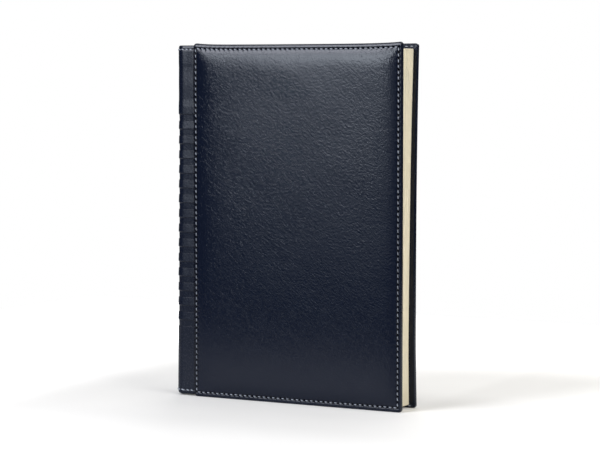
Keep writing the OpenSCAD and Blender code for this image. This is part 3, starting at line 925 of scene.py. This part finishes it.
# ------------------------------------------------------------------ CAD pieces that stay, with their finish
def finish_node(node, mat):
    me = NODES[node].data
    me.materials.clear()
    me.materials.append(mat)


for node, mat in (("spine_stiffener", BOARD), ("spine_lining", KRAFT), ("spine_mull", GAUZE), ("sewing_thread", LINEN)):
    finish_node(node, mat)


# ------------------------------------------------------------------ floor, light
def add_floor():
    """Pale table top with painted light: an emission glow brightens it into the white surround."""
    m, nt, bsdf = material("studio_floor")
    co = mm_coords(nt)
    n = N(nt, "ShaderNodeTexNoise", {"Vector": co, "Scale": 0.01, "Detail": 2.0}).outputs["Fac"]
    # painted shade in reflections: glossy rays see the table darker than the camera does
    lp = nt.nodes.new("ShaderNodeLightPath")
    dim = N(nt, "ShaderNodeMix", data_type="RGBA")
    nt.links.new(lp.outputs["Is Glossy Ray"], dim.inputs[0])
    nt.links.new(ramp(nt, n, [(0.3, (0.70, 0.685, 0.655)), (0.7, (0.72, 0.705, 0.675))]), dim.inputs[6])
    dim.inputs[7].default_value = (0.48, 0.48, 0.48, 1)
    nt.links.new(dim.outputs[2], bsdf.inputs["Base Color"])
    bsdf.inputs["Roughness"].default_value = 0.5
    bsdf.inputs["Specular IOR Level"].default_value = 0.12
    # painted light: an emission glow lifts the table towards the white surround, away from the object's shadow, and
    # lifts the shadow just in front of the object
    sep = N(nt, "ShaderNodeSeparateXYZ", {"Vector": co})
    x, y = sep.outputs["X"], sep.outputs["Y"]

    def rise(v, lo, hi, top=1.0):
        return smooth_range(nt, v, lo, hi, 0.0, top)
    glow = math_node(nt, "MULTIPLY", rise(y, 20.0, 80.0, 0.11), rise(x, -60.0, 20.0))
    near = math_node(nt, "MULTIPLY", smooth_range(nt, y, -42.0, -14.0, 0.0, 0.048), smooth_range(nt, math_node(nt, "ABSOLUTE", x), 68.0, 84.0, 1.0, 0.0))
    glow = math_node(nt, "ADD", glow, near)
    glow = math_node(nt, "ADD", glow, rise(math_node(nt, "MULTIPLY", x, -1.0), 135.0, 190.0, 0.15))
    glow = math_node(nt, "ADD", glow, rise(math_node(nt, "MULTIPLY", y, -1.0), 80.0, 140.0, 0.08))
    glow = math_node(nt, "ADD", glow, rise(y, 140.0, 260.0, 0.4))
    glow = math_node(nt, "ADD", glow, rise(math_node(nt, "ABSOLUTE", x), 120.0, 260.0, 0.4))
    # painted shade in reflections: glossy rays see a weaker glow
    glow = math_node(nt, "MULTIPLY", glow, math_node(nt, "SUBTRACT", 1.0, math_node(nt, "MULTIPLY", lp.outputs["Is Glossy Ray"], 0.75)))
    bsdf.inputs["Emission Color"].default_value = (1, 1, 1, 1)
    nt.links.new(glow, bsdf.inputs["Emission Strength"])
    me = bpy.data.meshes.new("studio_floor")
    me.from_pydata([(-0.45, -0.225, 0), (0.5, -0.225, 0), (0.5, 0.45, 0), (-0.45, 0.45, 0)], [], [[0, 1, 2, 3]])
    ob = bpy.data.objects.new("studio_floor", me)
    me.materials.append(m)
    scene.collection.objects.link(ob)


def add_area(name, loc, target, size, radiance, color=(1, 1, 1)):
    d = bpy.data.lights.new(name, "AREA")
    d.shape = "RECTANGLE"
    d.size, d.size_y = size
    d.energy = radiance * math.pi * size[0] * size[1]
    d.color = color
    ob = bpy.data.objects.new(name, d)
    ob.location = loc
    ob.rotation_euler = (Vector(target) - Vector(loc)).to_track_quat("-Z", "Y").to_euler()
    ob.visible_camera = False
    scene.collection.objects.link(ob)
    return ob


def add_world():
    w = bpy.data.worlds.new("studio_world")
    scene.world = w
    w.use_nodes = True
    nt = w.node_tree
    nt.nodes.clear()
    out = nt.nodes.new("ShaderNodeOutputWorld")
    bg = nt.nodes.new("ShaderNodeBackground")
    lp = nt.nodes.new("ShaderNodeLightPath")
    mx = nt.nodes.new("ShaderNodeMix")
    mx.data_type = "RGBA"
    nt.links.new(lp.outputs["Is Camera Ray"], mx.inputs[0])
    mx.inputs[6].default_value = (0.025, 0.027, 0.031, 1)
    mx.inputs[7].default_value = (1.0, 1.0, 1.0, 1)
    nt.links.new(mx.outputs[2], bg.inputs["Color"])
    nt.links.new(bg.outputs["Background"], out.inputs["Surface"])


add_floor()
add_world()
# soft box over the table, a smaller one in front, and a fill for the fore-edge
add_area("top_soft", (0.0, 0.14, 1.25), (0.0, 0.05, 0.0), (1.9, 1.7), 1.40)
add_area("front_soft", (-0.50, -1.2, 0.407), (0.0, 0.0, 0.14), (0.43, 0.285), 12.6, (0.83, 0.90, 1.0))
add_area("left_high", (-0.80, -1.15, 0.50), (0.0, 0.0, 0.18), (0.17, 0.15), 10.5, (0.85, 0.90, 1.0))
add_area("front_high", (-0.55, -0.97, 0.85), (0.0, 0.0, 0.14), (0.54, 0.62), 14.0, (0.87, 0.90, 1.0))
add_area("front_low", (-0.48, -1.2, 0.105), (0.0, 0.0, 0.12), (0.44, 0.19), 2.25, (0.80, 0.89, 1.0))
add_area("right_low", (-0.10, -1.2, 0.12), (0.0, 0.0, 0.12), (0.30, 0.24), 0.58, (0.80, 0.89, 1.0))
add_area("fore_edge_fill", (1.05, -0.18, 0.72), (0.07, 0.0, 0.12), (0.95, 1.05), 4.1)
add_area("back_soft", (-0.25, 1.15, 0.80), (0.0, 0.0, 0.10), (0.9, 0.6), 3.0)

scene.view_settings.view_transform = "Standard"
scene.view_settings.look = "None"
